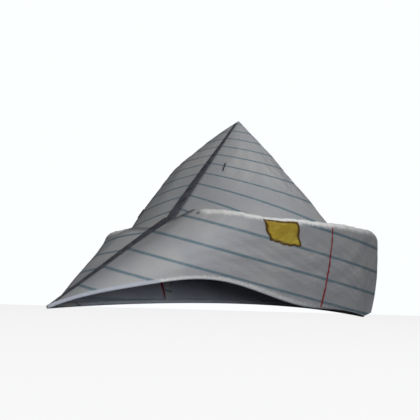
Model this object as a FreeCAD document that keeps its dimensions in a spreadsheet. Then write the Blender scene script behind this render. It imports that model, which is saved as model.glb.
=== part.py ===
"""Folded paper hat: one ruled sheet folded into a peaked crown with two turned-up brims.

Frame: millimetres, +Z up, X from the left tip to the right tip, the front is towards -Y.
The origin is on the table plane, below the apex.

Every facet between two creases is a solid of its own. A facet is a bent sheet between two
curves, so it is a ruled loft. Each curve takes how far it stands outside the crown's inner
face, so the two faces of a sheet, and the sheets stacked on each other, use the same curves.
"""
import FreeCAD, Part
import os
from FreeCAD import Placement, Rotation, Vector

os.makedirs("parts", exist_ok=True)
doc = FreeCAD.newDocument("paper_hat")

# Driving dimensions, in millimetres.
DIMENSIONS = {
    "tip_reach": 92.0,             # from the middle to each tip
    "crown_height": 83.6,          # from the tips to the apex
    "apex_lean": 10.0,             # how far the apex stands to the right of the middle
    "rim_reach": 31.0,             # half the mouth's width, front to back
    "rim_fullness": 0.64,          # how full the rim's curve is, as a share of the tip reach
    "front_lead_left": 24.0,       # how high the front rim's curve leads in its left half
    "front_lead_right": 0.0,       # and in its right half, so the arch peaks left of the middle
    "back_lead_left": 0.0,         # how high the back rim's curve leads in its left half
    "back_lead_right": 10.0,       # and in its right half
    "band_level": 39.2,            # height at which the crown bends inwards
    "band_left": 26.5,             # reach of the left ridge at that height
    "band_right": 43.5,            # reach of the right ridge at that height
    "front_band_reach": 44.5,      # reach of the crown's front at that height
    "back_band_reach": 49.0,       # reach of the crown's back at that height
    "front_brim_reach": 55.5,      # reach of the front brim's top edge
    "back_brim_reach": 52.0,       # reach of the back brim's top edge
    "front_brim_level": 36.7,      # height of the front brim's top edge
    "back_brim_level": 30.0,       # height of the back brim's top edge
    "front_brim_start": 1.0,       # where the front brim's top edge leaves the left ridge, as a share
    "back_brim_start": 0.9,        # where the back brim's top edge leaves it
    "brim_swell": 15.0,            # how far a brim's curve leads to the left of where it starts
    "front_brim_lift": 1.12,       # how high the front brim's curve leads at its left end, as a share
    "back_brim_lift": 0.95,        # the same share for the back brim
    "brim_fullness": 0.42,         # how full a brim's right half is, as a share of its end's reach
    "brim_end": 83.5,              # reach of the brims' blunt right ends
    "brim_end_spread": 11.0,       # how far those ends stand off the middle plane
    "paper": 0.3,                  # thickness of a layer
    "layer_gap": 0.15,             # air between two layers
    "crease_gap": 0.6,             # slit along the two corner creases
    "corner_share": 0.27,          # share of the brim's top edge that belongs to its free corner
    "tuck_share": 0.2,             # share of the rim that a tucked corner covers
    "gusset_share": 0.49,          # share of the rim at which a folded-in sheet corner stops
    "gusset_inset": 0.02,          # share of the rim at which it starts, clear of the tip
    "gusset_foot": 0.04,           # share of the gap up to the band that it leaves at the rim
    "gusset_peak": 0.9,            # share of the way to the apex that it reaches
    "peak_share": 0.99,            # share of the way to a point at which a sheet is cut blunt
    "corner_foot": 0.05,           # share of a free corner's height left open at the tip
    "tape_start": 0.42,            # where the tape begins along the brim, as a share
    "tape_end": 0.57,              # where the tape ends along the brim, as a share
    "tape_drop": 0.33,             # share of the brim's height that the tape covers
    "tape_film": 0.2,              # thickness of the tape
    "staple_length": 5.0,          # length of a staple's bar
    "staple_wire": 0.5,            # thickness of a staple's wire
    "front_staple_along": 0.118,   # where the front staple sits along the crown, as a share
    "front_staple_up": 0.465,      # how far up the crown's cone it starts, as a share
    "back_staple_along": 0.22,     # where the back staple sits along the crown
    "back_staple_up": 0.02,        # how far up the crown's cone it starts
    "staple_gap": 0.02,            # air between a staple's legs and the paper
}

FRONT, BACK = -1, 1
SIDE_NAMES = {FRONT: "front", BACK: "back"}

sheet = doc.addObject("Spreadsheet::Sheet", "dimensions")
for row, (alias, value) in enumerate(DIMENSIONS.items(), start=1):
    sheet.set(f"A{row}", alias)
    sheet.set(f"B{row}", str(value))
    sheet.setAlias(f"B{row}", alias)
doc.recompute()


def size(alias):
    """Return a driving dimension from the spreadsheet."""
    return float(sheet.get(alias))


def side_size(side, alias):
    """Return a driving dimension that differs between the front and the back."""
    return size(f"{SIDE_NAMES[side]}_{alias}")


PAPER = size("paper")
STEP = PAPER + size("layer_gap")       # pitch of the stacked layers
CUBIC_FULLNESS = 4.0 / 3.0             # a cubic whose handles are this long reaches 1 at its middle
FLOOR = PAPER                          # the rim folds' undersides lie on the table plane

LAYERS = {"gusset": -1, "crown": 0, "tuck": 1, "brim": 2, "tape": 3}


def layer_start(layer):
    """How far a layer's inner face stands outside the crown's inner face."""
    return LAYERS[layer] * STEP


def apex(out):
    """Peak of the crown, for a face that stands out by a distance."""
    return Vector(size("apex_lean"), 0, size("crown_height") + FLOOR + out)


def rim_curve(side, out):
    """Mouth edge from the left tip to the right tip, arched up and outwards in the middle."""
    reach = size("tip_reach") + out
    bulge = side * CUBIC_FULLNESS * (size("rim_reach") + out)
    lead = size("rim_fullness") * reach
    left_level, right_level = [FLOOR + side_size(side, alias) for alias in ("lead_left", "lead_right")]
    return [Vector(-reach, 0, FLOOR), Vector(-lead, bulge, left_level),
            Vector(lead, bulge, right_level), Vector(reach, 0, FLOOR)]


def band_curve(side, out):
    """Round section of the crown at the level where it bends inwards."""
    level = size("band_level") + FLOOR
    bulge = side * CUBIC_FULLNESS * (side_size(side, "band_reach") + out)
    left, right = -size("band_left") - out, size("band_right") + out
    return [Vector(left, 0, level), Vector(left, bulge, level),
            Vector(right, bulge, level), Vector(right, 0, level)]


def brim_curve(side, out):
    """Top edge of a brim, from the left ridge to the blunt right end."""
    start = rim_curve(side, out)[0]
    start = start + (band_curve(side, out)[0] - start) * side_size(side, "brim_start")
    right = size("brim_end") + out
    bulge = side * CUBIC_FULLNESS * (side_size(side, "brim_reach") + out)
    level = side_size(side, "brim_level") + FLOOR
    left_lead = Vector(start.x - size("brim_swell"), bulge, side_size(side, "brim_lift") * level)
    right_lead = Vector(size("brim_fullness") * right, bulge, level)
    blunt_end = Vector(right, side * (size("brim_end_spread") + out), level)
    return [start, left_lead, right_lead, blunt_end]


def trimmed(poles, start, end):
    """Return the poles of the stretch of a cubic between two parameters."""
    curve = Part.BezierCurve()
    curve.setPoles(poles)
    curve.segment(start, end)
    return curve.getPoles()


def bezier(poles):
    """Return the edge of a cubic."""
    curve = Part.BezierCurve()
    curve.setPoles(poles)
    return curve.toShape()


def point_on(poles, share):
    """Return a cubic's point at a parameter."""
    curve = Part.BezierCurve()
    curve.setPoles(poles)
    return curve.value(share)


def direction_on(poles, share):
    """Return the direction in which a cubic runs at a parameter."""
    curve = Part.BezierCurve()
    curve.setPoles(poles)
    return curve.tangent(share)[0]


def blended(lower, upper, share):
    """Return the cubic that lies a share of the way from one cubic to another."""
    return [low + (high - low) * share for low, high in zip(lower, upper)]


def ruled(first, second):
    """Return the ruled face between two edges."""
    return Part.makeRuledSurface(first, second)


def bent_sheet(curves, start, thickness):
    """Closed sheet through several curves, each a function of how far it stands out."""
    inner = [curve(start) for curve in curves]
    outer = [curve(start + thickness) for curve in curves]
    faces = [ruled(bezier(inner[i]), bezier(outer[i])) for i in (0, -1)]
    for low in range(len(curves) - 1):
        for skin in (inner, outer):
            faces.append(ruled(bezier(skin[low]), bezier(skin[low + 1])))
        for end in (0, -1):
            rungs = [Part.makeLine(inner[i][end], outer[i][end]) for i in (low, low + 1)]
            faces.append(ruled(*rungs))
    shell = Part.makeShell(faces)
    shell.sewShape()
    return Part.makeSolid(shell)


def add_sheet(name, shape):
    """Put a bent sheet into the document under its name."""
    feature = doc.addObject("Part::Feature", name)
    feature.Label = name
    feature.Shape = shape
    feature.Placement = Placement()
    return feature


def crown_panel(name, side):
    """Crown face: from the rim up to the band, then straight to the apex."""
    def rim(out):
        return rim_curve(side, out)

    def band(out):
        return band_curve(side, out)

    def peak(out):
        return blended(band(out), [apex(out)] * 4, size("peak_share"))

    return add_sheet(name, bent_sheet([rim, band, peak], layer_start("crown"), PAPER))


def gusset(name, side, start, end):
    """Sheet corner folded inwards, lying against the inside of a crown face."""
    def band(out):
        return trimmed(band_curve(side, out), start, end)

    def foot(out):
        return blended(trimmed(rim_curve(side, out), start, end), band(out), size("gusset_foot"))

    def peak(out):
        return blended(band(out), [apex(out)] * 4, size("gusset_peak"))

    return add_sheet(name, bent_sheet([foot, band, peak], layer_start("gusset"), PAPER))


def brim(name, side):
    """Turned-up band, from the rim fold to its top edge, up to the corner crease."""
    def rim(out):
        return rim_curve(side, out)

    def top(out):
        return trimmed(brim_curve(side, out), 0.0, 1.0 - size("corner_share"))

    return add_sheet(name, bent_sheet([rim, top], layer_start("brim"), PAPER))


def crease_line(side):
    """Ends of a free corner's crease: the right tip, and a point on the brim's top edge."""
    middle = layer_start("brim") + 0.5 * PAPER
    return rim_curve(side, middle)[3], point_on(brim_curve(side, middle), 1.0 - size("corner_share"))


def brim_corner(name, side):
    """Free corner of a brim, beyond the crease that continues the right ridge."""
    edge_length = bezier(brim_curve(side, 0)).Length
    start = 1.0 - size("corner_share") + size("crease_gap") / edge_length

    def top(out):
        return trimmed(brim_curve(side, out), start, 1.0)

    def foot(out):
        tip, end = rim_curve(side, out)[3], brim_curve(side, out)[3]
        return blended([tip + (end - tip) * size("corner_foot")] * 4, top(out), 1.0 - size("peak_share"))

    return add_sheet(name, bent_sheet([foot, top], layer_start("brim"), PAPER))


def tuck(name, side):
    """Brim corner folded over the left ridge, flat between a crown face and a brim."""
    def rim(out):
        return rim_curve(side, out)

    def band(out):
        return band_curve(side, out)

    whole = bent_sheet([rim, band], layer_start("tuck"), PAPER)
    foot = point_on(rim(0), size("tuck_share"))
    ridge_top = band(0)[0]
    beyond = Vector(-2 * size("tip_reach"), 0, 0)
    corners = [beyond, Vector(foot.x, 0, 0), Vector(foot.x, 0, foot.z), Vector(ridge_top.x, 0, ridge_top.z),
               beyond + Vector(0, 0, ridge_top.z)]
    triangle = Part.Face(Part.makePolygon(corners + corners[:1]))
    cutter = triangle.extrude(Vector(0, side * size("tip_reach"), 0))
    return add_sheet(name, whole.common(cutter))


def rim_fold(name, side):
    """Crease along the mouth that joins a crown face to its brim."""
    def bottom(out):
        return [pole - Vector(0, 0, PAPER) for pole in rim_curve(side, out)]

    def rim(out):
        return rim_curve(side, out)

    width = layer_start("brim") + PAPER - layer_start("crown")
    return add_sheet(name, bent_sheet([bottom, rim], layer_start("crown"), width))


def tape_patch(name, side):
    """Patch of tape on a brim's outer face, level with the brim's top edge."""
    start, end = size("tape_start"), size("tape_end")

    def top(out):
        return trimmed(trimmed(brim_curve(side, out), 0.0, 1.0 - size("corner_share")), start, end)

    def bottom(out):
        return blended(top(out), trimmed(rim_curve(side, out), start, end), size("tape_drop"))

    return add_sheet(name, bent_sheet([bottom, top], layer_start("brim") + PAPER, size("tape_film")))


def staple(name, side):
    """Staple whose bar points at the apex, with two short legs down to the paper."""
    out = layer_start("crown") + PAPER
    share = side_size(side, "staple_along")
    start = point_on(band_curve(side, out), share)
    along = (apex(out) - start).normalize()
    seat = start + (apex(out) - start) * side_size(side, "staple_up")
    outward = along.cross(direction_on(band_curve(side, out), share)).normalize()
    if outward.y * side < 0:
        outward = outward * -1
    across = outward.cross(along)
    turn = Rotation(along, across, outward, "XYZ")
    pieces = []
    wire = "<<dimensions>>.staple_wire"
    length = "<<dimensions>>.staple_length"
    layout = {"bar": (length, "0", "0.5 * " + wire), "first_leg": (wire, "0", "0"),
              "second_leg": (wire, length + " - " + wire, "0")}
    for part_name, (long_size, offset, lift) in layout.items():
        box = doc.addObject("Part::Box", f"{name}_{part_name}")
        box.setExpression("Length", long_size)
        box.setExpression("Width", wire)
        box.setExpression("Height", wire if part_name == "bar" else "0.5 * " + wire)
        box.setExpression("Placement.Base.x", offset)
        box.setExpression("Placement.Base.z", lift)
        pieces.append(box)
    fused = doc.addObject("Part::MultiFuse", name)
    fused.Label = name
    fused.Shapes = pieces
    fused.Placement = Placement(seat + outward * size("staple_gap"), turn)
    return fused


nodes = [
    crown_panel("crown_front", FRONT),
    crown_panel("crown_back", BACK),
    gusset("left_gusset", BACK, size("gusset_inset"), size("gusset_share")),
    gusset("right_gusset", BACK, 1.0 - size("gusset_share"), 1.0 - size("gusset_inset")),
    brim("front_brim", FRONT),
    brim("back_brim", BACK),
    brim_corner("front_brim_corner", FRONT),
    brim_corner("back_brim_corner", BACK),
    tuck("front_tuck", FRONT),
    tuck("back_tuck", BACK),
    rim_fold("front_rim_fold", FRONT),
    rim_fold("back_rim_fold", BACK),
    tape_patch("tape_patch", FRONT),
    staple("front_staple", FRONT),
    staple("back_staple", BACK),
]
doc.recompute()

for thing in doc.Objects:
    if "Invalid" in thing.State or "Error" in thing.State:
        raise RuntimeError(f"{thing.Label} did not compute: {thing.State}")
for node in nodes:
    if node.Shape.isNull() or not node.Shape.isValid() or node.Shape.Volume <= 0:
        raise RuntimeError(f"{node.Label} has no valid solid")
    node.Shape.exportStep(f"parts/{node.Label}.step")
    print(node.Label, len(node.Shape.Solids), round(node.Shape.Volume, 1))

for side, label in ((FRONT, "front"), (BACK, "back")):
    print(label, "corner crease", *crease_line(side))
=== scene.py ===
"""Looks of a folded paper hat: ruled sheets with soft creases, a patch of aged tape and two small staples.

Every sheet is a surface over two parameters: a share along the hat, from the left tip or ridge
to the right, and a share of the height. Each curve takes how far it stands outside the crown's
inner face, so the two faces of a sheet use the same formula. Lengths in the formulas are
millimetres; a mesh is scaled to metres when it is made.
"""
import math

import bpy
import numpy as np
from mathutils import Matrix, Vector


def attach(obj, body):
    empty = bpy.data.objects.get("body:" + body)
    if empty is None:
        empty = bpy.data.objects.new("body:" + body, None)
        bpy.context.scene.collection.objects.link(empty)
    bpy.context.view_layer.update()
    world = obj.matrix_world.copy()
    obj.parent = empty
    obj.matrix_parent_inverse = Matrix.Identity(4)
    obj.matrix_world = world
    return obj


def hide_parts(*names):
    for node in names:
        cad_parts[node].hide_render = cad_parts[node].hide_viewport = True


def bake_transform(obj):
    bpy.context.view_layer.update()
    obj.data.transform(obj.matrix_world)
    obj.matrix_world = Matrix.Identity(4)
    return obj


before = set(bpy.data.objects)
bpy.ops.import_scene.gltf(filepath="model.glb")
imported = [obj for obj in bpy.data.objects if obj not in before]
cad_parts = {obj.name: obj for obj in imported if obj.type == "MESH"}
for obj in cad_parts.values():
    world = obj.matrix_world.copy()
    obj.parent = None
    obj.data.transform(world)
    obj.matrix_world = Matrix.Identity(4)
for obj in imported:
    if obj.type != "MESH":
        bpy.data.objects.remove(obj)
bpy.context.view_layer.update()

MM = 0.001
FRONT, BACK = -1, 1

# The hat's sizes, the same as the CAD frame's.
TIP_REACH, CROWN_HEIGHT, APEX_LEAN = 92.0, 83.6, 10.0
RIM_REACH, RIM_FULLNESS = 31.0, 0.64
RIM_LEADS = {FRONT: (24.0, 0.0), BACK: (0.0, 10.0)}
BAND_LEVEL, BAND_LEFT, BAND_RIGHT = 39.2, 26.5, 43.5
BAND_REACH = {FRONT: 44.5, BACK: 49.0}
BRIM_REACH = {FRONT: 55.5, BACK: 52.0}
BRIM_LEVEL = {FRONT: 36.7, BACK: 30.0}
BRIM_START = {FRONT: 1.0, BACK: 0.9}
BRIM_LIFT = {FRONT: 1.12, BACK: 0.95}
BRIM_SWELL, BRIM_FULLNESS = 15.0, 0.42
BRIM_END, BRIM_END_SPREAD = 83.5, 11.0
PAPER, STEP = 0.3, 0.45
CORNER_SHARE, CORNER_FOOT, TUCK_SHARE = 0.27, 0.05, 0.2
GUSSET_SHARE, GUSSET_INSET, GUSSET_FOOT, GUSSET_PEAK = 0.49, 0.02, 0.04, 0.9
LAYERS = {"gusset": -1, "crown": 0, "tuck": 1, "brim": 2, "tape": 3}
FULLNESS = 4.0 / 3.0                   # a cubic with handles this long reaches 1 at its middle
FLOOR = PAPER
FOLD_RISE = {FRONT: 3.2, BACK: 1.5}    # how far a brim's top edge is raised beside the left ridge
FOLD_FADE = {FRONT: (0.12, 0.36), BACK: (0.2, 0.5)}    # shares along the brim over which that fades
CROWN_BEND = 0.36                      # share of a crown sheet's height at which it bends inwards
CROWN_SWELL = {FRONT: 1.2, BACK: 7.0}  # how far a crown face bellies out half way up
BRIM_BELLY = {FRONT: 0.0, BACK: 4.2}   # how far a brim bellies out half way up, in its left half
RIM_BELLS = ((3.6, 0.34, 0.13), (-3.2, 0.6, 0.13))     # height, middle and width of the front rim's bells
CORNER_BOWS = (3.7, 5.0)               # how far a free corner bows out, at its foot and half way up
TOP_CURL = 2.3                         # how far a brim's top edge curls in
BRIM_MIDDLE = LAYERS["brim"] * STEP + PAPER / 2        # how far a brim's middle stands out

# The printing on the paper.
GUSSET_PITCH = 9.7                     # distance between two rules, measured upwards
GUSSET_MARGIN = -1.5                   # where the red line crosses the gussets
BRIM_PITCH, BRIM_TILT, BRIM_SPREAD, BRIM_OFFSET = 10.0, 0.165, 0.183, 0.77
CROWN_RULES = (0.02924, 0.03231, 0.1090, 0.00205, 4.654)
MARGIN_FOOT, MARGIN_LEAN = 0.4755, 0.064    # where the red line crosses the front brim, as shares
BRIM_LENGTH = 230.0


def cubic(poles, share):
    """Cubic Bezier: the four poles weighted by the Bernstein polynomials of the share."""
    weights = [(1 - share) ** 3, 3 * share * (1 - share) ** 2, 3 * share ** 2 * (1 - share), share ** 3]
    return sum(weight[..., None] * np.array(pole, float) for weight, pole in zip(weights, poles))


def smooth(low, high, value):
    """Smooth step: 0 below low, 1 above high, and 3x^2 - 2x^3 in between."""
    share = np.clip((value - low) / (high - low), 0.0, 1.0)
    return share * share * (3.0 - 2.0 * share)


def mixed(first, second, share):
    """Straight line from the first point to the second, at a share."""
    share = np.asarray(share, float)[..., None]
    return first + (second - first) * share


def rim(side, share, out):
    """Mouth edge from tip to tip: a cubic, and at the front two bell curves that tighten its arch."""
    reach, bulge = TIP_REACH + out, side * FULLNESS * (RIM_REACH + out)
    lead = RIM_FULLNESS * reach
    left_level, right_level = [FLOOR + level for level in RIM_LEADS[side]]
    edge = cubic([(-reach, 0, FLOOR), (-lead, bulge, left_level), (lead, bulge, right_level),
                  (reach, 0, FLOOR)], share)
    if side == FRONT:
        for height, middle, width in RIM_BELLS:
            edge[..., 2] += height * np.exp(-((share - middle) / width) ** 2) * np.sin(math.pi * share)
    return edge


def band(side, share, out):
    """Round section where the crown bends inwards: a level cubic from ridge to ridge."""
    left, right, bulge = -BAND_LEFT - out, BAND_RIGHT + out, side * FULLNESS * (BAND_REACH[side] + out)
    level = BAND_LEVEL + FLOOR
    return cubic([(left, 0, level), (left, bulge, level), (right, bulge, level), (right, 0, level)], share)


def brim_top(side, share, out):
    """Top edge of a brim: a cubic from the left ridge round the crown to the blunt right end."""
    nought = np.zeros(1)
    tip, bend = rim(side, nought, out)[0], band(side, nought, out)[0]
    start = tip + (bend - tip) * BRIM_START[side]
    right, bulge = BRIM_END + out, side * FULLNESS * (BRIM_REACH[side] + out)
    level = BRIM_LEVEL[side] + FLOOR
    return cubic([start, (start[0] - BRIM_SWELL, bulge, BRIM_LIFT[side] * level),
                  (BRIM_FULLNESS * right, bulge, level), (right, side * (BRIM_END_SPREAD + out), level)],
                 share)


def apex(out):
    """Peak of the crown."""
    return np.array([APEX_LEAN, 0.0, CROWN_HEIGHT + FLOOR + out])


def crumple(along, up, phase):
    """Soft waves in a handled sheet: a sum of four sines whose directions and lengths differ."""
    waves = [(1.0, 2.1, 3.4), (0.6, 7.3, -4.1), (0.35, 13.7, 9.2), (0.2, 23.9, -17.3)]
    total = sum(size * np.sin(math.tau * (fast_along * along + fast_up * up) + phase * (1 + order))
                for order, (size, fast_along, fast_up) in enumerate(waves))
    return total / sum(size for size, _, _ in waves)


def crown_point(side, share, up, out):
    """Crown face: straight from the rim to the band over the lower third, then on to the apex.

    The upper part swells outwards by a half sine of the height, fading to both ridges.
    """
    low = mixed(rim(side, share, out), band(side, share, out), np.minimum(up / CROWN_BEND, 1.0))
    rise = np.clip((up - CROWN_BEND) / (1.0 - CROWN_BEND), 0.0, 0.995)
    high = mixed(band(side, share, out), apex(out), rise)
    point = np.where((up < CROWN_BEND)[..., None], low, high)
    inside = np.sin(math.pi * share)
    swell = (CROWN_SWELL[side] + 0.8 * crumple(share, up, 1.3 + side)) * np.sin(math.pi * rise) * inside
    return point + swell[..., None] * np.array([-0.15, side * 0.85, 0.4])


def brim_shares(along):
    """Split a share along a whole brim at its corner crease: rim share and top-edge share."""
    crease = 1.0 - CORNER_SHARE
    rim_share = np.minimum(along / crease, 1.0)
    return rim_share, along, smooth(0.0, 1.0, (along - crease) / CORNER_SHARE)


def brim_point(side, along, up, out):
    """Whole brim with its free corner.

    Straight lines from the rim to the top edge; beyond the crease they fan out from the right
    tip, lifted a little along the blunt end. The free corner bows outwards by a half sine, and
    the last part of the height curls in towards the crown by a square law.
    """
    rim_share, top_share, corner = brim_shares(along)
    top = brim_top(side, top_share, out)
    tip = rim(side, np.ones_like(along), out)
    end = brim_top(side, np.ones_like(along), out)
    foot = np.where((along > 1.0 - CORNER_SHARE)[..., None],
                    mixed(tip, end, CORNER_FOOT * corner), rim(side, rim_share, out))
    point = mixed(foot, top, up)
    bow = corner * (CORNER_BOWS[0] * (1 - up ** 2) + CORNER_BOWS[1] * up * (1 - up))
    point = point + bow[..., None] * np.array([0.9, side * 0.43, 0.0])
    clear = smooth(0.02, 0.14, along)
    curl = TOP_CURL * np.clip((up - 0.92) / 0.08, 0.0, 1.0) ** 2 * clear
    wave = 0.5 * crumple(along * 1.3, up, 0.4) * np.sin(math.pi * up) * np.sin(math.pi * along)
    rumple = 0.5 * crumple(along * 2.6, up * 0.2, 2.0) * smooth(0.7, 1.0, up) * clear
    raised = smooth(0.0, 0.09, along) * (1 - smooth(*FOLD_FADE[side], along))
    rise = 0.5 * rumple + FOLD_RISE[side] * raised * up ** 2
    belly = BRIM_BELLY[side] * np.sin(math.pi * up) * smooth(0, 0.08, along) * (1 - smooth(0.4, 0.7, along))
    point = point + belly[..., None] * np.array([-0.5, side * 0.85, 0.0])
    outward = np.array([0.0, side, 0.0])
    return point + (wave + rumple - curl)[..., None] * outward + rise[..., None] * np.array([0, 0, 1.0])


def grid(columns, rows):
    """Evenly spaced shares along and up, as two arrays of the grid's shape."""
    return np.meshgrid(np.linspace(0, 1, columns), np.linspace(0, 1, rows), indexing="ij")


def add_mesh(name, vertices, faces, material, uv=None, wear=None, rubbed=None):
    """Put arrays of vertices, in millimetres, and quads into a mesh with its map and edge values."""
    mesh = bpy.data.meshes.new(name)
    mesh.from_pydata((vertices * MM).tolist(), [], faces.tolist())
    corner = np.empty(len(mesh.loops), int)
    mesh.loops.foreach_get("vertex_index", corner)
    if uv is not None:
        mesh.uv_layers.new(name="Sheet").data.foreach_set("uv", uv[corner].astype(np.float32).ravel())
    for label, values in (("wear", wear), ("rubbed", rubbed)):
        if values is not None:
            attribute = mesh.attributes.new(label, "FLOAT", "POINT")
            attribute.data.foreach_set("value", values.astype(np.float32))
    mesh.polygons.foreach_set("use_smooth", np.ones(len(faces), bool))
    mesh.materials.append(material)
    mesh.validate()
    piece = bpy.data.objects.new(name, mesh)
    bpy.context.scene.collection.objects.link(piece)
    return piece


def grid_faces(columns, rows, start=0):
    """Quads of a grid whose vertices run row by row, column after column."""
    index = start + np.arange(columns * rows).reshape(columns, rows)
    return np.stack([index[:-1, :-1], index[1:, :-1], index[1:, 1:], index[:-1, 1:]], -1).reshape(-1, 4)


def rim_of(columns, rows):
    """Vertex numbers round a grid's edge, in order."""
    index = np.arange(columns * rows).reshape(columns, rows)
    return np.concatenate([index[:-1, 0], index[-1, :-1], index[:0:-1, -1], index[0, :0:-1]])


def closed_sheet(name, side, surface, columns, rows, start, thickness, material, printing, edge_darkening,
                 rubbed=None):
    """Closed sheet: an outer and an inner grid of the same surface, joined round the edge.

    The surface is a function of the two shares and of how far a face stands out; printing and the
    next function give the map's coordinates and the darkening by creases and edges from the shares and the
    points, which is painted shade on paper and aged edges on tape.
    """
    along, up = grid(columns, rows)
    outer = surface(along, up, start + thickness)
    inner = surface(along, up, start)
    vertices = np.concatenate([outer.reshape(-1, 3), inner.reshape(-1, 3)])
    uv = printing(along, up, outer).reshape(-1, 2)
    wear = edge_darkening(along, up).reshape(-1)
    pale = (rubbed or zeros_everywhere)(along, up).reshape(-1)
    count = columns * rows
    faces_out = grid_faces(columns, rows)
    faces_in = grid_faces(columns, rows, count)[:, ::-1]
    ring = rim_of(columns, rows)
    following = np.roll(ring, -1)
    walls = np.stack([ring, ring + count, following + count, following], -1)
    faces = np.concatenate([faces_out, faces_in, walls])
    if side == BACK:
        faces = faces[:, ::-1]
    return add_mesh(name, vertices, faces, material, *[np.concatenate([values, values])
                                                       for values in (uv, wear, pale)])


# --- Shader expressions ---------------------------------------------------------------------

class Value:
    """A shader socket that takes part in Python expressions; each operator adds a Math node."""

    def __init__(self, shader, socket):
        self.shader = shader
        self.socket = socket

    def math(self, operation, first, second=0.0):
        return self.shader.node("ShaderNodeMath", {"operation": operation}, {0: first, 1: second})

    def __add__(self, other):
        return self.math("ADD", self, other)

    def __sub__(self, other):
        return self.math("SUBTRACT", self, other)

    def __mul__(self, other):
        return self.math("MULTIPLY", self, other)

    def __rsub__(self, other):
        return self.math("SUBTRACT", other, self)

    def __abs__(self):
        return self.math("ABSOLUTE", self)

    __radd__, __rmul__ = __add__, __mul__

    def fraction(self):
        return self.math("FRACT", self)


class Shader:
    """A material's node tree with one method that makes any node."""

    def __init__(self, name):
        self.material = bpy.data.materials.new(name)
        self.material.use_nodes = True
        self.tree = self.material.node_tree
        self.tree.nodes.clear()

    def node(self, kind, settings=None, inputs=None, output=0):
        """Make a node: its settings first, then the values or links of its sockets."""
        made = self.tree.nodes.new(kind)
        for key, value in (settings or {}).items():
            if key == "stops":
                for _ in range(len(value) - 2):
                    made.color_ramp.elements.new(0.5)
                for element, (place, colour) in zip(made.color_ramp.elements, value):
                    element.position = place
                    element.color = colour
            else:
                setattr(made, key, value)
        for key, value in (inputs or {}).items():
            if isinstance(value, Value):
                self.tree.links.new(value.socket, made.inputs[key])
            else:
                made.inputs[key].default_value = value
        return Value(self, made.outputs[output]) if made.outputs else made

    def place(self):
        return self.node("ShaderNodeTexCoord", output="Object")

    def printed(self, axis):
        """One coordinate of the sheet's own map."""
        spot = self.node("ShaderNodeUVMap", {"uv_map": "Sheet"})
        return self.node("ShaderNodeSeparateXYZ", None, {0: spot}, output=axis)

    def painted(self, label):
        """A value kept on the mesh, such as the crease darkening."""
        return self.node("ShaderNodeAttribute", {"attribute_name": label}, output="Fac")

    def noise(self, scale, detail=3.0, roughness=0.5, stretch=(1, 1, 1), distortion=0.0):
        spot = self.node("ShaderNodeMapping", None, {"Vector": self.place(), "Scale": stretch})
        return self.node("ShaderNodeTexNoise", None, {"Vector": spot, "Scale": scale, "Detail": detail,
                                                      "Roughness": roughness, "Distortion": distortion})

    def step(self, value, low, high):
        """Smooth step from 0 at low to 1 at high."""
        return self.node("ShaderNodeMapRange", {"interpolation_type": "SMOOTHSTEP"},
                         {"Value": value, "From Min": low, "From Max": high})

    def blend(self, factor, first, second, kind="MIX"):
        """Mix node on two colours."""
        return self.node("ShaderNodeMix", {"data_type": "RGBA", "blend_type": kind},
                         {"Factor": factor, 6: first, 7: second}, output=2)

    def bump(self, height, strength, distance, normal=None):
        inputs = {"Height": height, "Strength": strength, "Distance": distance}
        if normal is not None:
            inputs["Normal"] = normal
        return self.node("ShaderNodeBump", None, inputs)

    def finish(self, inputs):
        surface = self.node("ShaderNodeBsdfPrincipled", None, inputs)
        self.node("ShaderNodeOutputMaterial", None, {"Surface": surface})
        return self.material


def colour(red, green, blue):
    """Colour from screen values out of 255, turned into linear light."""
    linear = [(c / 255 / 12.92) if c <= 10 else ((c / 255 + 0.055) / 1.055) ** 2.4
              for c in (red, green, blue)]
    return (*linear, 1.0)


def paper_material(name, pale, shaded, ink=0.9, rough=0.78):
    """Ruled paper: fibre mottle, printed rules and a margin line, creases darkened with painted shade, a
    painted highlight, a fibre bump.

    A rule is drawn where the fraction of the map's second coordinate is close to a half, and
    the margin where the first coordinate is close to 0. Noise thins the ink here and there.
    """
    shader = Shader(name)
    fibre = shader.noise(2600, 4.0, 0.65)
    cloud = shader.noise(38, 3.0, 0.55)
    fleck = shader.noise(900, 2.0, 0.5)
    wear = shader.painted("wear")
    tone = shader.blend(shader.step(cloud, 0.34, 0.68), colour(*pale), colour(*shaded))
    tone = shader.blend(shader.step(fibre, 0.3, 0.75) * 0.16, tone, colour(150, 154, 160))
    tone = shader.blend(shader.step(fleck, 0.66, 0.74) * 0.18, tone, colour(128, 124, 116))
    rule_distance = abs(shader.printed("Y").fraction() - 0.5)
    ink_wear = shader.step(shader.noise(520, 3.0, 0.6), 0.2, 0.55) * 0.35 + 0.65
    rule = (1 - shader.step(rule_distance, 0.03, 0.085)) * ink_wear * ink
    tone = shader.blend(rule, tone, colour(96, 128, 142))
    margin_distance = abs(shader.printed("X"))
    margin = (1 - shader.step(margin_distance, 0.35, 0.85)) * ink_wear
    tone = shader.blend(margin, tone, colour(158, 44, 52))
    # Painted shade: the paper darkens to grey where the mesh's crease values are high, by ridges, rims,
    # creases and fold ends.
    crease = shader.step(wear + (cloud - 0.5) * 0.35, 0.3, 1.0)
    tone = shader.blend(crease * 0.62, tone, colour(78, 78, 88))
    # Painted highlight: the paper turns near white where the mesh asks for it, along the brim's curled top
    # edge and faintly by the hem.
    highlight_paling = shader.step(shader.painted("rubbed") + (fleck - 0.5) * 0.5, 0.15, 0.8)
    tone = shader.blend(highlight_paling, tone, colour(250, 250, 247))
    fine = shader.bump(fibre, 0.25, 0.00008)
    folds = shader.noise(85, 4.0, 0.6, distortion=0.6)
    creased = shader.bump(folds, 0.35, 0.0012, fine)
    return shader.finish({"Base Color": tone, "Roughness": rough + fleck * 0.12, "Normal": creased,
                          "Specular IOR Level": 0.22})


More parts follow.
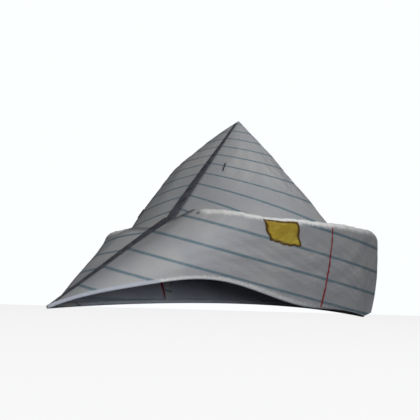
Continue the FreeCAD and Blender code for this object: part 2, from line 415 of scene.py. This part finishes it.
def tape_material():
    """Aged sticky tape: amber film, blotchy glue, brown edges and the rule underneath."""
    shader = Shader("aged_tape")
    blotch = shader.noise(210, 4.0, 0.6, distortion=0.8)
    grain = shader.noise(1500, 3.0, 0.6)
    edge = shader.painted("wear")
    tone = shader.blend(shader.step(blotch, 0.35, 0.66), colour(222, 196, 78), colour(196, 166, 54))
    rule_distance = abs(shader.printed("Y").fraction() - 0.5)
    tone = shader.blend((1 - shader.step(rule_distance, 0.04, 0.09)) * 0.4, tone, colour(96, 104, 70))
    ragged = shader.step(edge + (blotch - 0.5) * 0.2, 0.3, 0.6)
    tone = shader.blend(ragged * 0.9, tone, colour(84, 54, 12))
    relief = shader.bump(blotch * 0.8 + grain * 0.2, 0.4, 0.0004)
    return shader.finish({"Base Color": tone, "Roughness": 0.32 + blotch * 0.25, "Normal": relief,
                          "Specular IOR Level": 0.4})


def staple_material():
    """Dull drawn wire: grey metal with streaks along its length and darker spots."""
    shader = Shader("dull_wire")
    streak = shader.noise(1800, 3.0, 0.6, stretch=(1, 1, 0.15))
    spot = shader.noise(700, 2.0, 0.5)
    tone = shader.blend(shader.step(spot, 0.4, 0.7), colour(74, 74, 80), colour(44, 43, 48))
    tone = shader.blend(streak * 0.3, tone, colour(104, 104, 108))
    return shader.finish({"Base Color": tone, "Roughness": 0.42 + streak * 0.25, "Metallic": 0.85,
                          "Normal": shader.bump(streak, 0.3, 0.00005)})


def ridge_shade_material():
    """Painted shade for the fold edge beside the left ridge: dark grey paper, streaked along the fold and
    paler in spots.
    """
    shader = Shader("ridge_shade_paper")
    streak = shader.noise(240, 4.0, 0.65, stretch=(1, 1, 1.6))
    fibre = shader.noise(2600, 4.0, 0.65)
    tone = shader.blend(shader.step(streak, 0.3, 0.72), colour(62, 62, 72), colour(94, 94, 103))
    tone = shader.blend(fibre * 0.25, tone, colour(92, 92, 98))
    return shader.finish({"Base Color": tone, "Roughness": 0.8 + fibre * 0.1,
                          "Normal": shader.bump(fibre, 0.3, 0.0001), "Specular IOR Level": 0.15})


outer_paper = paper_material("ruled_paper", (197, 197, 196), (183, 185, 189), ink=0.8)
# A darker, bluer copy of the ruled paper with fainter rules, for the inner faces: painted shade.
inner_paper = paper_material("shaded_inner_ruled_paper", (186, 188, 200), (168, 171, 184), ink=0.5)
# A paler, bluer copy of the ruled paper without rules, for the rolled hem: painted light.
lit_hem_paper = paper_material("lit_hem_paper", (214, 220, 232), (196, 203, 216), ink=0.0)
tape = tape_material()
staple_wire = staple_material()
# Dark grey paper for the strip along the left ridge: painted shade.
ridge_shade_paper = ridge_shade_material()


# --- Where the rules and the margin run -----------------------------------------------------

FAR_FROM_MARGIN = 40.0                 # a map coordinate that no margin line reaches


def crown_rules(along, up, point):
    """Map of a crown face: tilted planes that close up above the band by a square law."""
    across, outwards, upwards, closing, offset = CROWN_RULES
    x, y, z = point[..., 0], np.abs(point[..., 1]), point[..., 2]
    number = across * x + outwards * y + upwards * z + closing * np.maximum(z - BAND_LEVEL, 0.0) ** 2 - offset
    return np.stack([np.full_like(number, FAR_FROM_MARGIN), number], -1)


def brim_rules(side):
    """Map of a brim: tilted planes a pitch apart, and the distance from the margin line."""
    def printing(along, up, point):
        x, y, z = point[..., 0], np.abs(point[..., 1]), point[..., 2]
        number = (z + BRIM_TILT * x + BRIM_SPREAD * y) / BRIM_PITCH + BRIM_OFFSET
        margin = np.full_like(number, FAR_FROM_MARGIN)
        if side == FRONT:
            margin = (along - MARGIN_FOOT - MARGIN_LEAN * up) * BRIM_LENGTH
        return np.stack([margin, number], -1)
    return printing


def ridge_crease_shade(along, up):
    """Painted shade by the left and right ridges, strongest at the ridge itself."""
    return np.exp(-along / 0.02) + 0.6 * np.exp(-(1 - along) / 0.02) + 0.25 * np.exp(-(1 - up) / 0.03)


def brim_crease_shade(along, up):
    """Painted shade along the rim, the top edge, the left ridge and the corner crease, and on the dark fold
    end; a dark spot painted for a small hole.
    """
    crease = np.abs(along - (1.0 - CORNER_SHARE))
    # The fold end's thickness in shadow is painted as a dark strip: painted shade.
    fold_end = 1.5 * np.exp(-(1 - up) / 0.05) * (1 - smooth(0.075, 0.1, along))
    # A small hole painted as a dark spot, the shade seen through it.
    pinhole = 2.0 * np.exp(-((along - 0.105) / 0.006) ** 2 - ((up - 0.955) / 0.018) ** 2)
    return (0.3 * np.exp(-up / 0.02) + 0.6 * np.exp(-along / 0.01) + 0.25 * np.exp(-crease / 0.005)
            + fold_end + pinhole)


def brim_highlight_and_paling(along, up):
    """Painted highlight on the curled top edge from the fold's end onwards, and a faint paling on the hem."""
    reach = smooth(0.09, 0.13, along) * (1.0 - 0.5 * smooth(0.35, 0.9, along))
    hem = 0.75 * np.exp(-(up / 0.06) ** 2) * (1 - smooth(0.35, 0.6, along))
    return reach * np.exp(-((1 - up) / 0.06) ** 2) + hem


def zeros_everywhere(along, up):
    """Zero everywhere: no painted shade and no painted highlight."""
    return 0.0 * along


# --- The pieces -----------------------------------------------------------------------------

def make_crown(side, name):
    """Crown face, from the mouth's edge to the apex."""
    def surface(along, up, out):
        return crown_point(side, along, up, out)
    return closed_sheet(name, side, surface, 161, 121, LAYERS["crown"] * STEP, PAPER, outer_paper,
                        crown_rules, ridge_crease_shade)


def make_brim(side, name):
    """Whole brim with its free corner, in one sheet that bends at the crease."""
    def surface(along, up, out):
        return brim_point(side, along, up, out)
    return closed_sheet(name, side, surface, 241, 61, LAYERS["brim"] * STEP, PAPER, outer_paper,
                        brim_rules(side), brim_crease_shade, brim_highlight_and_paling)


def make_tuck(side, name):
    """Corner folded over the left ridge: a triangle of the sheet between crown and brim."""
    def surface(along, up, out):
        return mixed(rim(side, along * TUCK_SHARE * (1.0 - 0.98 * up), out),
                     band(side, along * TUCK_SHARE * (1.0 - 0.98 * up), out), up)
    return closed_sheet(name, side, surface, 31, 41, LAYERS["tuck"] * STEP, PAPER, inner_paper,
                        brim_rules(side), zeros_everywhere)


def make_gusset(start, end, name):
    """Sheet corner folded in behind the back face, from just above the rim almost to the apex."""
    def surface(along, up, out):
        share = start + (end - start) * along
        bend = 0.4
        upper = band(BACK, share, out)
        foot = mixed(rim(BACK, share, out), upper, GUSSET_FOOT)
        low = mixed(foot, upper, np.minimum(up / bend, 1.0))
        high = mixed(upper, apex(out), np.clip((up - bend) / (1 - bend), 0, 1) * GUSSET_PEAK)
        return np.where((up < bend)[..., None], low, high)

    def printing(along, up, point):
        return np.stack([point[..., 0] - GUSSET_MARGIN, point[..., 2] / GUSSET_PITCH], -1)
    return closed_sheet(name, BACK, surface, 61, 61, LAYERS["gusset"] * STEP, PAPER, inner_paper, printing,
                        zeros_everywhere)


def make_hem(side, name):
    """Rolled mouth edge: an ellipse carried along the rim, closed by a cap at each tip."""
    columns, around = 161, 20
    share = np.linspace(0, 1, columns)
    angle = np.linspace(0, math.tau, around, endpoint=False)
    width = (LAYERS["brim"] - LAYERS["crown"]) * STEP + PAPER
    middle, edge = rim(side, share, width / 2), rim(side, share, width)
    swell = 1.0 + 0.12 * crumple(share, 0 * share, 0.7)
    outward = (edge - middle) * 1.08 * swell[:, None]
    upward = np.array([0, 0, 0.8])
    points = (middle[:, None] + outward[:, None] * np.cos(angle)[None, :, None]
              + upward * np.sin(angle)[None, :, None] + np.array([0, 0, 0.52]))
    faces = ring_faces(columns, around)
    if side == BACK:
        faces = [face[::-1] for face in faces]
    count = columns * around
    uv = np.full((count, 2), FAR_FROM_MARGIN)
    return add_rings(name, points.reshape(-1, 3), faces, lit_hem_paper, uv)


def ring_faces(columns, around):
    """Quads between successive rings, and a polygon over each end."""
    index = np.arange(columns * around).reshape(columns, around)
    turned = np.roll(index, -1, axis=1)
    quads = np.stack([index[:-1], index[1:], turned[1:], turned[:-1]], -1).reshape(-1, 4)
    return quads.tolist() + [index[0].tolist(), index[-1][::-1].tolist()]


def add_rings(name, points, faces, material, uv):
    """Put a tube's vertices, in millimetres, and faces into a mesh."""
    mesh = bpy.data.meshes.new(name)
    mesh.from_pydata((points * MM).tolist(), [], faces)
    corner = np.empty(len(mesh.loops), int)
    mesh.loops.foreach_get("vertex_index", corner)
    mesh.uv_layers.new(name="Sheet").data.foreach_set("uv", uv[corner].astype(np.float32).ravel())
    mesh.attributes.new("wear", "FLOAT", "POINT")
    mesh.polygons.foreach_set("use_smooth", np.ones(len(faces), bool))
    mesh.materials.append(material)
    piece = bpy.data.objects.new(name, mesh)
    bpy.context.scene.collection.objects.link(piece)
    return piece


def make_ridge_fold(name):
    """Folded edge beside the left ridge, on the far side, dark with painted shade: a narrow band from tip to
    apex.

    Its width swells by a half sine around the bend of the ridge and shrinks to both ends.
    """
    def surface(along, up, out):
        first = mixed(rim(BACK, 0 * up, out), band(BACK, 0 * up, out), np.minimum(up / 0.5, 1.0))
        high = mixed(band(BACK, 0 * up, out), apex(out), np.clip((up - 0.5) / 0.5, 0, 0.97))
        ridge = np.where((up < 0.5)[..., None], first, high)
        width = 0.7 + 2.6 * np.sin(math.pi * up) ** 1.5
        across = np.array([-0.12, 1.0, 0.1])
        lift = np.where(up < 0.5, 1.05, 0.25)
        return ridge + (width * along)[..., None] * across + lift[..., None] * np.array([-0.5, 0, 0.5])

    def printing(along, up, point):
        return np.stack([0 * up, 0 * up], -1)
    return closed_sheet(name, BACK, surface, 9, 161, 0.3, 0.25, ridge_shade_paper, printing, zeros_everywhere)


TAPE_TOP_SHARES, TAPE_FOOT_SHARES = (0.300, 0.408), (0.338, 0.422)
TAPE_TOP, TAPE_FOOT = 0.965, 0.675


def make_tape(name):
    """Patch of tape on the brim's outer face: a leaning quadrilateral with a torn, wavy foot."""
    def surface(along, up, out):
        torn = 0.009 * np.sin(8.0 * along + 0.6) + 0.006 * np.sin(27.0 * along)
        left = TAPE_FOOT_SHARES[0] + (TAPE_TOP_SHARES[0] - TAPE_FOOT_SHARES[0]) * up
        right = TAPE_FOOT_SHARES[1] + (TAPE_TOP_SHARES[1] - TAPE_FOOT_SHARES[1]) * up
        share = left + (right - left) * along + 0.0015 * np.sin(11.0 * up)
        height = TAPE_FOOT + torn * (1 - up) + (TAPE_TOP - TAPE_FOOT) * up
        return brim_point(FRONT, share, height, out)

    def edge_darkening(along, up):
        near = np.minimum(np.minimum(along, 1 - along) / 0.09, np.minimum(up, 1 - up) / 0.11)
        return np.exp(-near)
    return closed_sheet(name, FRONT, surface, 41, 41, LAYERS["brim"] * STEP + PAPER + 0.02, 0.18, tape,
                        brim_rules(FRONT), edge_darkening)


STAPLE_LENGTH, STAPLE_WIRE = 5.0, 0.5
STAPLE_PLACES = {FRONT: (0.118, 0.465), BACK: (0.22, 0.02)}    # share along, share of the cone's height


def make_staple(side, name):
    """Round wire staple: a circle carried along a bar with two rounded shoulders and short legs.

    The bar runs from its lower end towards the apex, on the crown's outer face.
    """
    share, rise = STAPLE_PLACES[side]
    up = CROWN_BEND + (1 - CROWN_BEND) * rise
    spots = [(share, up), (share, up + 0.02), (share + 0.02, up)]
    foot, above, beside = [crown_point(side, np.array([a]), np.array([u]), PAPER)[0] for a, u in spots]
    along = (above - foot) / np.linalg.norm(above - foot)
    outward = np.cross(along, beside - foot)
    outward *= np.sign(outward[1] * side) / np.linalg.norm(outward)
    sideways = np.cross(outward, along)
    centre = foot + along * STAPLE_LENGTH / 2
    turn = np.linspace(-1, 1, 41)
    half, radius = STAPLE_LENGTH / 2, STAPLE_WIRE / 2
    reach = half * np.sign(turn) * (1 - (1 - np.abs(turn)) ** 3) - radius * np.sign(turn)
    drop = -1.1 * radius * smooth(0.75, 1.0, np.abs(turn))
    path = centre + reach[:, None] * along + (1.3 * radius + drop)[:, None] * outward
    angle = np.linspace(0, math.tau, 14, endpoint=False)
    ring = np.cos(angle)[:, None] * sideways + np.sin(angle)[:, None] * outward
    points = path[:, None] + radius * ring[None]
    uv = np.zeros((len(turn) * len(angle), 2))
    return add_rings(name, points.reshape(-1, 3), ring_faces(len(turn), len(angle)), staple_wire, uv)


def facing_out(piece):
    """Recalculate a closed piece's normals so that they point outwards."""
    bpy.context.view_layer.objects.active = piece
    piece.select_set(True)
    bpy.ops.object.mode_set(mode="EDIT")
    bpy.ops.mesh.select_all(action="SELECT")
    bpy.ops.mesh.normals_make_consistent(inside=False)
    bpy.ops.object.mode_set(mode="OBJECT")
    piece.select_set(False)


def corner_crease(side):
    """Middle of a free corner's crease and the direction across it, towards the free corner."""
    one = np.ones(1)
    tip, end = rim(side, one, BRIM_MIDDLE)[0], brim_top(side, one, BRIM_MIDDLE)[0]
    top = brim_top(side, one - CORNER_SHARE, BRIM_MIDDLE)[0]
    line = (top - tip) / np.linalg.norm(top - tip)
    across = (end - tip) - line * np.dot(end - tip, line)
    return (tip + top) / 2, across / np.linalg.norm(across)


def place_piece(piece, slot, *nodes):
    """Let a piece ride on the root body and stand for its CAD nodes."""
    facing_out(piece)
    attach(piece, "root")
    if nodes:
        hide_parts(*nodes)


SIDES = {FRONT: "front", BACK: "back"}
for side, label in SIDES.items():
    place_piece(make_crown(side, f"{label}_crown_sheet"), "ruled_paper", f"crown_{label}")
    place_piece(make_tuck(side, f"{label}_tuck_sheet"), "inner_paper", f"{label}_tuck")
    place_piece(make_hem(side, f"{label}_hem"), "ruled_paper", f"{label}_rim_fold")
    place_piece(make_staple(side, f"{label}_wire_staple"), "staple_steel", f"{label}_staple")
    whole_brim = make_brim(side, f"{label}_brim_sheet")
    facing_out(whole_brim)
    middle, across = corner_crease(side)
    tuple((middle - 0.3 * across) * MM)
    tuple((middle + 1.7 * across) * MM)
    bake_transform(whole_brim)
    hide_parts(f"{label}_brim", f"{label}_brim_corner")

place_piece(make_gusset(GUSSET_INSET, GUSSET_SHARE, "left_gusset_sheet"), "inner_paper", "left_gusset")
place_piece(make_gusset(1 - GUSSET_SHARE, 1 - GUSSET_INSET, "right_gusset_sheet"), "inner_paper",
            "right_gusset")
# The dark strip along the left ridge carries painted shade.
place_piece(make_ridge_fold("left_ridge_fold"), "inner_paper")
place_piece(make_tape("tape_film"), "tape", "tape_patch")


# --- Floor, light and camera ----------------------------------------------------------------

def stage_material():
    """Pale matt floor, close to white to the camera, that keeps a faint shadow."""
    shader = Shader("pale_floor")
    grain = shader.noise(14, 3.0, 0.5)
    tone = shader.blend(grain, colour(190, 190, 190), colour(184, 184, 185))
    matt = shader.node("ShaderNodeBsdfDiffuse", None, {"Color": tone})
    glow = shader.node("ShaderNodeEmission", None, {"Color": (1, 1, 1, 1), "Strength": 0.95})
    seen = shader.node("ShaderNodeLightPath", output="Is Camera Ray")
    mix = shader.node("ShaderNodeMixShader", None, {0: seen * 0.92, 1: matt, 2: glow})
    shader.node("ShaderNodeOutputMaterial", None, {"Surface": mix})
    return shader.material


def make_floor():
    """Flat square floor just under the hat."""
    size = 12000.0
    along, up = grid(2, 2)
    points = np.stack([(along - 0.5) * size, (up - 0.5) * size, 0 * along - 0.4], -1).reshape(-1, 3)
    floor = add_mesh("floor", points, grid_faces(2, 2), stage_material())


def make_world(seen, cast):
    """Even studio surroundings: white to the camera, dimmer as light."""
    world = bpy.data.worlds.new("studio")
    bpy.context.scene.world = world
    world.use_nodes = True
    nodes, links = world.node_tree.nodes, world.node_tree.links
    path = nodes.new("ShaderNodeLightPath")
    strength = nodes.new("ShaderNodeMapRange")
    strength.inputs["To Min"].default_value = cast
    strength.inputs["To Max"].default_value = seen
    links.new(path.outputs["Is Camera Ray"], strength.inputs["Value"])
    background = nodes["Background"]
    background.inputs["Color"].default_value = (0.95, 0.97, 1.0, 1.0)
    links.new(strength.outputs["Result"], background.inputs["Strength"])


def add_light(name, place, size, watts, tint):
    """Square soft light, in metres, aimed at the hat's middle."""
    lamp = bpy.data.lights.new(name, "AREA")
    lamp.size, lamp.energy, lamp.color = size, watts, tint
    holder = bpy.data.objects.new(name, lamp)
    holder.location = place
    holder.rotation_euler = (Vector((0, 0, 0.04)) - Vector(place)).to_track_quat("-Z", "Y").to_euler()
    bpy.context.scene.collection.objects.link(holder)


def add_camera(azimuth, elevation, roll, distance, target, focal_share):
    """Camera on a sphere round the target; focal_share is the focal length over the sensor's width."""
    turn, tilt, lean = [math.radians(angle) for angle in (azimuth, elevation, roll)]
    right = Vector((math.cos(turn), math.sin(turn), 0))
    back = Vector((math.sin(turn) * math.cos(tilt), -math.cos(turn) * math.cos(tilt), math.sin(tilt)))
    up = back.cross(right)
    right, up = right * math.cos(lean) + up * math.sin(lean), up * math.cos(lean) - right * math.sin(lean)
    data = bpy.data.cameras.new("camera")
    data.sensor_width = 36.0
    data.lens = 36.0 * focal_share
    data.clip_start, data.clip_end = 0.01, 50.0
    camera = bpy.data.objects.new("camera", data)
    place = Vector(target) + back * distance
    camera.matrix_world = Matrix.Translation(place) @ Matrix((right, up, back)).transposed().to_4x4()
    bpy.context.scene.collection.objects.link(camera)
    bpy.context.scene.camera = camera


make_floor()
make_world(seen=1.03, cast=0.05)
add_light("key", (-0.35, -0.95, 0.95), 0.45, 4.7, (1.0, 0.985, 0.96))
add_light("top", (-0.1, -0.35, 1.15), 0.4, 1.2, (0.96, 0.98, 1.0))
add_light("low_fill", (-0.5, -0.8, 0.03), 0.3, 4.6, (0.93, 0.95, 1.0))
add_camera(-42.9, -2.91, 1.6, 0.72, (-0.0893, -0.09, 0.03807), 4.66)
bpy.context.scene.view_settings.view_transform = "Standard"
